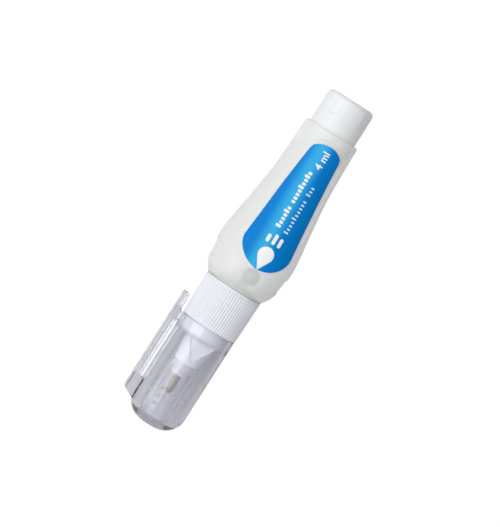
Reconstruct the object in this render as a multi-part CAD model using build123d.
from build123d import *
import math
import os

# Correction-fluid pen, lying on a desk with its label up, capped.
# Each piece is first drawn about its own axis: Z is the distance from the closed
# end of the cap towards the end plug, +Y is the label side and +X is the clip side.
# place() then lays it down: the axis goes along row +X, the label faces row +Z and
# the clip points to row +Y. The row origin is on the desk, under the middle of the pen.
# All sizes are in millimetres.

# Where things are along the axis
overall_length = 100.0
cap_length = 29.9
cap_seat_gap = 0.1
collar_length = 12.2
gasket_thickness = 0.2
plug_reach = 9.9
widest_from_shoulder = 10.4

# Bottle
bottle_wall = 1.05
shoulder_radius = 8.1
bulb_radius = 10.94
neck_radius = 6.2
neck_wall = 1.2
neck_length = 9.3
neck_bead = 0.2
neck_bead_length = 1.0
neck_bead_from_shoulder = 5.5
shoulder_inset = 1.2
tail_corner = 0.6

# Grip pads and label panel, both shallow and following the bottle's surface
grip_depth = 0.25
grip_from_shoulder = 4.5
grip_length = 4.2
grip_wide = 12.4
grip_narrow = 10.0
grip_corner = 0.9
label_from_shoulder = 7.6
label_from_tail = 3.3
label_widest = 7.15
label_top_half_width = 4.35
label_top_rise = 1.9
label_thickness = 0.12
label_corner = 1.0
panel_depth = 0.2
panel_margin = 1.0

# End plug
plug_radius = 6.74
plug_fit = 0.01
plug_seat_length = 7.0
plug_wall = 1.4
plug_end_wall = 2.2
plug_corner = 1.3
flute_width = 3.5
flute_length = 5.5
flute_depth = 0.3
flute_count = 4
flute_first_angle = 50.0
flute_round_share = 0.99

# Nozzle: collar, spigot, cored cone and nose in one moulding
collar_front_step = 0.07
collar_back_step = 0.04
collar_fit = 0.02
rib_count = 66
rib_depth = 0.22
rib_half_width = 0.24
rib_plain_band = 0.8
spigot_length = 3.0
spigot_chamfer = 0.6
cone_base_step = 0.92
cone_mid_radius = 3.82
cone_front_radius = 3.43
cone_length = 7.7
cone_mid_from_front = 3.2
pocket_half_width = 4.3
pocket_count = 4
pocket_margin = 0.2
seal_radius = 3.14
seal_length = 1.9
nose_radius = 2.46
nose_length = 1.8
nose_chamfer = 0.35

# Valve: metal tip, needle, spring and housing
tip_radius = 1.05
tip_reach = 5.5
tip_taper_length = 1.1
tip_mouth_radius = 0.5
tip_seat_length = 5.0
tip_bore = 0.75
tip_hole = 0.3
tip_hole_length = 1.0
tip_funnel_length = 0.8
press_clearance = 0.01
needle_point_radius = 0.25
needle_shank_radius = 0.55
needle_proud = 0.3
needle_cone_clearance = 0.1
needle_point_corner = 0.2
needle_flange_clearance = 0.34
needle_flange_length = 1.0
needle_flange_gap = 0.3
needle_tail_clearance = 0.36
needle_tail_length = 4.5
flange_bore_step = 0.09
spring_wire_radius = 0.14
spring_rim = 0.3
spring_length = 9.4
spring_turns = 8
housing_radius = 2.39
housing_wall = 0.8
housing_seat_gap = 3.9
housing_web = 1.0
housing_web_hole = 0.7
housing_length = 24.1
port_width = 1.2
port_length = 10.0
port_from_web = 3.2

# Agitator ball, and the straight way it runs along the label side of the chamber
ball_radius = 2.38
ball_from_shoulder = 5.0
ball_depth = 4.34
ball_angle = 6.6

# Cap with its clip and inner sealing sleeve in one moulding
cap_radius = 7.83
cap_wall = 0.95
cap_end_wall = 1.8
cap_corner = 5.8
cap_inner_corner = 2.6
cap_mouth_corner = 0.1
cap_land_wall = 1.23
cap_land_clearance = 0.08
cap_land_length = 2.7
cap_land_ramp = 1.4
mouth_chamfer = 0.15
sleeve_clearance = 0.06
sleeve_mouth_wall = 0.47
sleeve_root_wall = 0.99
sleeve_floor = 0.6
clip_gap = 1.12
clip_thickness = 1.65
clip_width = 4.4
clip_overhang = 5.0
clip_end_thickness = 1.3
clip_end_corner = 0.6
clip_foot_start = 4.1
clip_foot_slope = 1.1
clip_foot_end = 9.6
clip_foot_corner = 1.0
clip_root_corner = 0.5
clip_bump_height = 0.65
clip_bump_from_mouth = 3.1
clip_bump_length = 2.4
clip_bump_ramp = 0.7
clip_bump_corner = 0.3
clip_ramp_corner = 0.6
clip_groove_width = 2.2
clip_groove_depth = 0.35
clip_groove_margin = 3.2
dot_radius = 0.6
dot_sunk = 0.25
dot_rows = 3
dot_row_pitch = 2.25
dot_first_row = 6.3
dot_angle = 24.2
dot_sides = (90, 270)
cutter_lift = 1.0

# Shape of the bottle between shoulder, widest place and tail: each pair is the share of
# the length and the share of the change in radius that is reached there.
shoulder_curve = ((0.20, 0.50), (0.60, 0.86))
taper_curve = ((0.14, 0.14), (0.365, 0.516), (0.59, 0.825), (0.815, 0.949))
# Shape of one side of the label: shares of its length and of its greatest half width.
label_curve = ((0.035, 0.71), (0.092, 0.94), (0.17, 1.0), (0.375, 0.892), (0.66, 0.755))

# Places that follow from the sizes above
collar_start = cap_length + cap_seat_gap
collar_end = collar_start + collar_length
shoulder = collar_end + gasket_thickness
bottle_end = overall_length - plug_reach
bottle_length = bottle_end - shoulder
label_length = bottle_length - label_from_shoulder - label_from_tail
widest = shoulder + widest_from_shoulder
neck_end = shoulder - neck_length
tail_radius = plug_radius + plug_fit + bottle_wall
plug_start = bottle_end - plug_seat_length
spigot_start = collar_start - spigot_length
cone_start = spigot_start - spigot_chamfer - cone_length
seal_start = cone_start - seal_length
nose_start = seal_start - nose_length
tip_start = nose_start - tip_reach
tip_end = nose_start + tip_seat_length
flange_start = tip_end + needle_flange_gap
flange_end = flange_start + needle_flange_length
housing_start = tip_end + housing_seat_gap
housing_bore = housing_radius - housing_wall
flange_bore = housing_bore - flange_bore_step
needle_flange_radius = housing_bore - needle_flange_clearance
spring_mean_radius = needle_flange_radius - spring_rim
needle_tail_radius = spring_mean_radius - spring_wire_radius - needle_tail_clearance
spring_end = flange_end + spring_length
housing_end = housing_start + housing_length
pocket_floor = housing_radius + press_clearance + housing_wall
spigot_radius = cap_radius - cap_land_wall - cap_land_clearance
cone_base_radius = spigot_radius - cone_base_step
collar_front_radius = cap_radius + collar_front_step
collar_back_radius = shoulder_radius + collar_back_step
clip_inner = cap_radius + clip_gap
clip_outer = clip_inner + clip_thickness
clip_end = cap_length + clip_overhang
clip_bump_start = cap_length - clip_bump_from_mouth
ball_offset = bulb_radius - ball_depth
neck_bore = neck_radius - neck_wall
reach = 3 * bulb_radius


def place(piece):
    """Lay a piece down from its drawing position into the row frame."""
    frame = Plane(
        origin=(-overall_length / 2, 0, bulb_radius), x_dir=(0, 1, 0), z_dir=(1, 0, 0)
    )
    return frame.location * piece


def section_line(points, corners=None):
    """Closed half section from (radius, height) points, with one corner radius each."""
    spots = [(r, 0, s) for r, s in points]
    if corners is None:
        return Polyline(*spots, close=True)
    return FilletPolyline(*spots, radius=corners, close=True)


def turned(points, corners=None):
    """Solid of revolution about the axis."""
    return revolve(make_face(section_line(points, corners)), Axis.Z)


def tube(outer, inner, start, end):
    """Plain tube between two places on the axis."""
    return turned([(inner, start), (outer, start), (outer, end), (inner, end)])


def shape_points(offset):
    """Points of the bottle's outer surface, moved by offset along the radius."""
    points = [(shoulder_radius, shoulder)]
    for along, rise in shoulder_curve:
        radius = shoulder_radius + rise * (bulb_radius - shoulder_radius)
        points.append((radius, shoulder + along * widest_from_shoulder))
    points.append((bulb_radius, widest))
    for along, drop in taper_curve:
        radius = bulb_radius - drop * (bulb_radius - tail_radius)
        points.append((radius, widest + along * (bottle_end - widest)))
    points.append((tail_radius, bottle_end))
    return [(r + offset, 0, s) for r, s in points]


def skin(outer_offset, inner_offset):
    """Thin ring that follows the bottle's surface between two radial offsets."""
    outside = Spline(*shape_points(outer_offset))
    inside = Spline(*shape_points(inner_offset))
    edges = [
        outside,
        Line(outside @ 1, inside @ 1),
        inside,
        Line(inside @ 0, outside @ 0),
    ]
    return revolve(make_face(edges), Axis.Z)


def bottle_blank(offset, start):
    """Solid inside the bottle's surface moved by offset, from start to the tail."""
    side = Spline(*shape_points(offset))
    ends = Polyline(side @ 1, (0, 0, bottle_end), (0, 0, shoulder), side @ 0)
    blank = revolve(make_face([side, *ends.edges()]), Axis.Z)
    return blank & round_bar(reach, start, bottle_end)


def round_bar(radius, start, end):
    """Plain round bar between two places on the axis."""
    bar = Cylinder(radius, end - start, align=(Align.CENTER, Align.CENTER, Align.MIN))
    return Pos(0, 0, start) * bar


def make_bottle():
    """Squeeze bottle with its neck, grip pads and label panel."""
    bead_start = shoulder - neck_bead_from_shoulder
    neck = [
        (0, neck_end),
        (neck_radius, neck_end),
        (neck_radius, bead_start),
        (neck_radius + neck_bead, bead_start + neck_bead_length / 2),
        (neck_radius, bead_start + neck_bead_length),
        (neck_radius, shoulder + shoulder_inset),
        (0, shoulder + shoulder_inset),
    ]
    body = bottle_blank(0, shoulder) + turned(neck)
    tail_rim = body.edges().filter_by(GeomType.CIRCLE).group_by(Axis.Z)[-1]
    body = fillet(tail_rim, tail_corner)
    body -= bottle_blank(-bottle_wall, shoulder + shoulder_inset)
    body -= round_bar(neck_bore, neck_end, widest)
    body -= round_bar(plug_radius + plug_fit, plug_start, bottle_end)
    for side in (-1, 1):
        body -= skin(cutter_lift, -grip_depth) & grip_block(side)
    panel = extrude(Plane.XZ * label_face(panel_margin), -reach)
    return body - (skin(cutter_lift, -panel_depth) & panel)


def grip_block(side):
    """Block through one side of the bottle with the outline of a grip pad."""
    start = shoulder + grip_from_shoulder
    end = start + grip_length
    outline = FilletPolyline(
        (-grip_wide / 2, start),
        (grip_wide / 2, start),
        (grip_narrow / 2, end),
        (-grip_narrow / 2, end),
        radius=grip_corner,
        close=True,
    )
    return extrude(Plane.YZ * make_face(outline), side * reach)


def label_face(margin):
    """Flat outline of the label, grown by margin, as drawn across and along."""
    start = shoulder + label_from_shoulder - margin
    length = label_length + 2 * margin
    corner_height = start + length - label_top_rise
    right = [
        (share * label_widest + margin, start + along * length)
        for along, share in label_curve
    ]
    right.append((label_top_half_width + margin, corner_height))
    left = [(-across, along) for across, along in reversed(right)]
    side = Spline(*left, (0, start), *right)
    top = ThreePointArc(side @ 1, (0, start + length), side @ 0)
    face = make_face([side, top])
    corners = face.vertices().group_by(Axis.Y)[-1]
    return fillet(corners, label_corner)


def make_label():
    """Printed label, seated on the floor of its panel."""
    band = skin(label_thickness - panel_depth, -panel_depth)
    return band & extrude(Plane.XZ * label_face(0), -reach)


def make_end_plug():
    """Hollow plug in the tail of the bottle, with fluted end."""
    inner = plug_radius - plug_wall
    end = overall_length
    points = [
        (0, end),
        (plug_radius, end),
        (plug_radius, plug_start),
        (inner, plug_start),
        (inner, end - plug_end_wall),
        (0, end - plug_end_wall),
    ]
    body = turned(points, [0, plug_corner, 0, 0, 0, 0])
    ring = tube(reach, plug_radius - flute_depth, end - flute_length, end)
    half = flute_width / 2
    rounding = half * flute_round_share
    outline = FilletPolyline(
        (-half, end - flute_length),
        (half, end - flute_length),
        (half, end + half),
        (-half, end + half),
        radius=[rounding, rounding, 0, 0],
        close=True,
    )
    flute = extrude(Plane.XZ * make_face(outline), -reach) & ring
    for turn in range(flute_count):
        body -= Rot(0, 0, flute_first_angle + turn * 360 / flute_count) * flute
    return body


def make_nozzle():
    """Ribbed collar, cap spigot, cored cone, sealing cylinder and nose."""
    spigot_foot = spigot_start - spigot_chamfer
    cone = Spline(
        (cone_front_radius, 0, cone_start),
        (cone_mid_radius, 0, cone_start + cone_mid_from_front),
        (cone_base_radius, 0, spigot_foot),
    )
    back = Polyline(
        cone @ 1,
        (spigot_radius - spigot_chamfer, 0, spigot_foot),
        (spigot_radius, 0, spigot_start),
        (spigot_radius, 0, collar_start),
        (collar_front_radius, 0, collar_start),
        (collar_back_radius, 0, collar_end),
        (neck_radius + collar_fit, 0, collar_end),
        (neck_radius + collar_fit, 0, neck_end),
        (housing_radius + press_clearance, 0, neck_end),
        (housing_radius + press_clearance, 0, housing_start),
        (flange_bore, 0, housing_start),
        (flange_bore, 0, tip_end),
        (tip_radius + press_clearance, 0, tip_end),
        (tip_radius + press_clearance, 0, nose_start),
        (nose_radius - nose_chamfer, 0, nose_start),
        (nose_radius, 0, nose_start + nose_chamfer),
        (nose_radius, 0, seal_start),
        (seal_radius, 0, seal_start),
        (seal_radius, 0, cone_start),
        cone @ 0,
    )
    body = revolve(make_face([cone, *back.edges()]), Axis.Z)
    body -= snap_groove()
    for turn in range(pocket_count):
        body -= Rot(0, 0, turn * 360 / pocket_count) * cone_pocket(spigot_foot)
    return body - rib_grooves()


def snap_groove():
    """Groove inside the collar that the bead on the bottle's neck snaps into."""
    start = shoulder - neck_bead_from_shoulder
    inner = neck_radius + collar_fit
    return turned(
        [
            (neck_radius - collar_fit, start),
            (inner, start),
            (inner + neck_bead, start + neck_bead_length / 2),
            (inner, start + neck_bead_length),
            (neck_radius - collar_fit, start + neck_bead_length),
        ]
    )


def cone_pocket(base):
    """Three-cornered coring pocket in the label side of the cone."""
    outline = Polyline(
        (0, cone_start + pocket_margin),
        (pocket_half_width, base),
        (-pocket_half_width, base),
        close=True,
    )
    block = extrude(Plane.XZ * make_face(outline), -reach)
    middle = (Align.CENTER, Align.MIN, Align.CENTER)
    keep = Box(reach, pocket_floor, 4 * cone_length, align=middle)
    return block - Pos(0, 0, base) * keep


def rib_grooves():
    """The V grooves that leave fine ribs round the collar."""
    taper = math.degrees(math.atan2(collar_back_radius - collar_front_radius, collar_length))
    notch = Polyline(
        (-rib_depth, 0),
        (rib_depth, -2 * rib_half_width),
        (rib_depth, 2 * rib_half_width),
        close=True,
    )
    length = collar_length - rib_plain_band
    groove = extrude(make_face(notch), length + rib_plain_band, dir=(0, 0, 1))
    groove = Pos(collar_front_radius, 0, collar_start - rib_plain_band) * (
        Rot(0, taper, 0) * groove
    )
    return [Rot(0, 0, turn * 360 / rib_count) * groove for turn in range(rib_count)]


def make_neck_gasket():
    """Thin washer between the collar and the bottle's shoulder."""
    return tube(
        shoulder_radius - 2 * collar_fit, neck_radius + collar_fit, collar_end, shoulder
    )


def make_metal_tip():
    """Metal writing tube pressed in the nose."""
    return turned(
        [
            (tip_hole, tip_start),
            (tip_mouth_radius, tip_start),
            (tip_radius, tip_start + tip_taper_length),
            (tip_radius, tip_end),
            (tip_bore, tip_end),
            (tip_bore, tip_start + tip_hole_length + tip_funnel_length),
            (tip_hole, tip_start + tip_hole_length),
        ]
    )


def make_valve_needle():
    """Needle that closes the tip from inside, with a flange for the spring."""
    cone = tip_start + tip_hole_length + needle_cone_clearance
    rise = (needle_shank_radius - needle_point_radius) * tip_funnel_length
    rise /= tip_bore - tip_hole
    point = tip_start - needle_proud
    points = [
        (0, point),
        (needle_point_radius, point),
        (needle_point_radius, cone),
        (needle_shank_radius, cone + rise),
        (needle_shank_radius, flange_start),
        (needle_flange_radius, flange_start),
        (needle_flange_radius, flange_end),
        (needle_tail_radius, flange_end),
        (needle_tail_radius, flange_end + needle_tail_length),
        (0, flange_end + needle_tail_length),
    ]
    return turned(points, [0, needle_point_corner, 0, 0, 0, 0, 0, 0, 0, 0])


def make_valve_spring():
    """Compression spring between the needle's flange and the housing's web."""
    height = spring_length - 2 * spring_wire_radius
    path = Helix(height / spring_turns, height, spring_mean_radius)
    wire = Plane(path @ 0, z_dir=path % 0) * Circle(spring_wire_radius)
    coil = sweep(wire, path, is_frenet=True)
    return Pos(0, 0, flange_end + spring_wire_radius) * coil


def make_valve_housing():
    """Tube that holds the spring and reaches through the neck, with side ports."""
    web_end = spring_end + housing_web
    body = turned(
        [
            (housing_bore, housing_start),
            (housing_radius, housing_start),
            (housing_radius, housing_end - housing_wall),
            (housing_radius - housing_wall, housing_end),
            (0, housing_end),
            (0, housing_end - housing_wall),
            (housing_bore, housing_end - 2 * housing_wall),
            (housing_bore, web_end),
            (housing_web_hole, web_end),
            (housing_web_hole, spring_end),
            (housing_bore, spring_end),
        ]
    )
    middle = web_end + port_from_web + port_length / 2
    port = Pos(0, 0, middle) * Box(port_width, 3 * housing_radius, port_length)
    return body - port


def make_agitator_ball():
    """Steel ball that mixes the fluid when the pen is shaken."""
    angle = math.radians(ball_angle)
    across = -ball_offset * math.sin(angle)
    front = ball_offset * math.cos(angle)
    return Pos(across, front, shoulder + ball_from_shoulder) * Sphere(ball_radius)


def make_cap():
    """Clear cap: shell, sealing sleeve, pocket clip and grip dots."""
    inner = cap_radius - cap_wall
    land = spigot_radius + cap_land_clearance
    land_start = cap_length - cap_land_length
    sleeve = seal_radius + sleeve_clearance
    points = [
        (0, 0),
        (cap_radius, 0),
        (cap_radius, cap_length),
        (land + mouth_chamfer, cap_length),
        (land, cap_length - mouth_chamfer),
        (land, land_start),
        (inner, land_start - cap_land_ramp),
        (inner, cap_end_wall),
        (sleeve + sleeve_root_wall, cap_end_wall),
        (sleeve + sleeve_mouth_wall, cone_start),
        (sleeve, cone_start),
        (sleeve, cap_end_wall + sleeve_floor),
        (0, cap_end_wall + sleeve_floor),
    ]
    corners = [0, cap_corner, cap_mouth_corner, 0, 0, 0, 0, cap_inner_corner, 0, 0, 0, 0, 0]
    body = turned(points, corners)
    body += make_clip()
    return body + grip_dots()


def make_clip():
    """Pocket clip, standing on a foot near the closed end of the cap."""
    root = cap_radius - cap_wall / 2
    bump = clip_inner - clip_bump_height
    tip_inner = clip_outer - clip_end_thickness
    bump_end = clip_bump_start + clip_bump_length
    points = [
        (root, clip_foot_start - clip_foot_slope / 2),
        (clip_outer, clip_foot_start + clip_foot_slope),
        (clip_outer, clip_end),
        (tip_inner, clip_end),
        (tip_inner, bump_end + 2 * clip_bump_ramp),
        (bump, bump_end),
        (bump, clip_bump_start + clip_bump_ramp),
        (clip_inner, clip_bump_start),
        (clip_inner, clip_foot_end),
        (root, clip_foot_end),
    ]
    end = clip_end_corner
    ramp = clip_ramp_corner
    bend = clip_bump_corner
    corners = [0, clip_foot_corner, end, end, ramp, end, end, bend, clip_root_corner, 0]
    outline = make_face(section_line(points, corners))
    clip = extrude(outline, clip_width / 2, dir=(0, 1, 0), both=True)
    groove_start = clip_foot_end
    groove_end = clip_end - clip_groove_margin
    groove = Pos(clip_outer, 0, (groove_start + groove_end) / 2) * Box(
        2 * clip_groove_depth, clip_groove_width, groove_end - groove_start
    )
    return clip - groove


def grip_dots():
    """Raised dots on the label side and on the back of the cap."""
    dots = []
    for facing in dot_sides:
        for column in (-1, 0, 1):
            turn = Rot(0, 0, facing + column * dot_angle)
            for row in range(dot_rows):
                height = dot_first_row + row * dot_row_pitch
                dots.append(turn * Pos(cap_radius - dot_sunk, 0, height) * Sphere(dot_radius))
    return dots


MAKERS = {
    "bottle": make_bottle,
    "front_label": make_label,
    "end_plug": make_end_plug,
    "neck_gasket": make_neck_gasket,
    "nozzle": make_nozzle,
    "metal_tip": make_metal_tip,
    "valve_needle": make_valve_needle,
    "valve_spring": make_valve_spring,
    "valve_housing": make_valve_housing,
    "agitator_ball": make_agitator_ball,
    "cap": make_cap,
}

os.makedirs("parts", exist_ok=True)
for name, make in MAKERS.items():
    export_step(place(make()), f"parts/{name}.step")
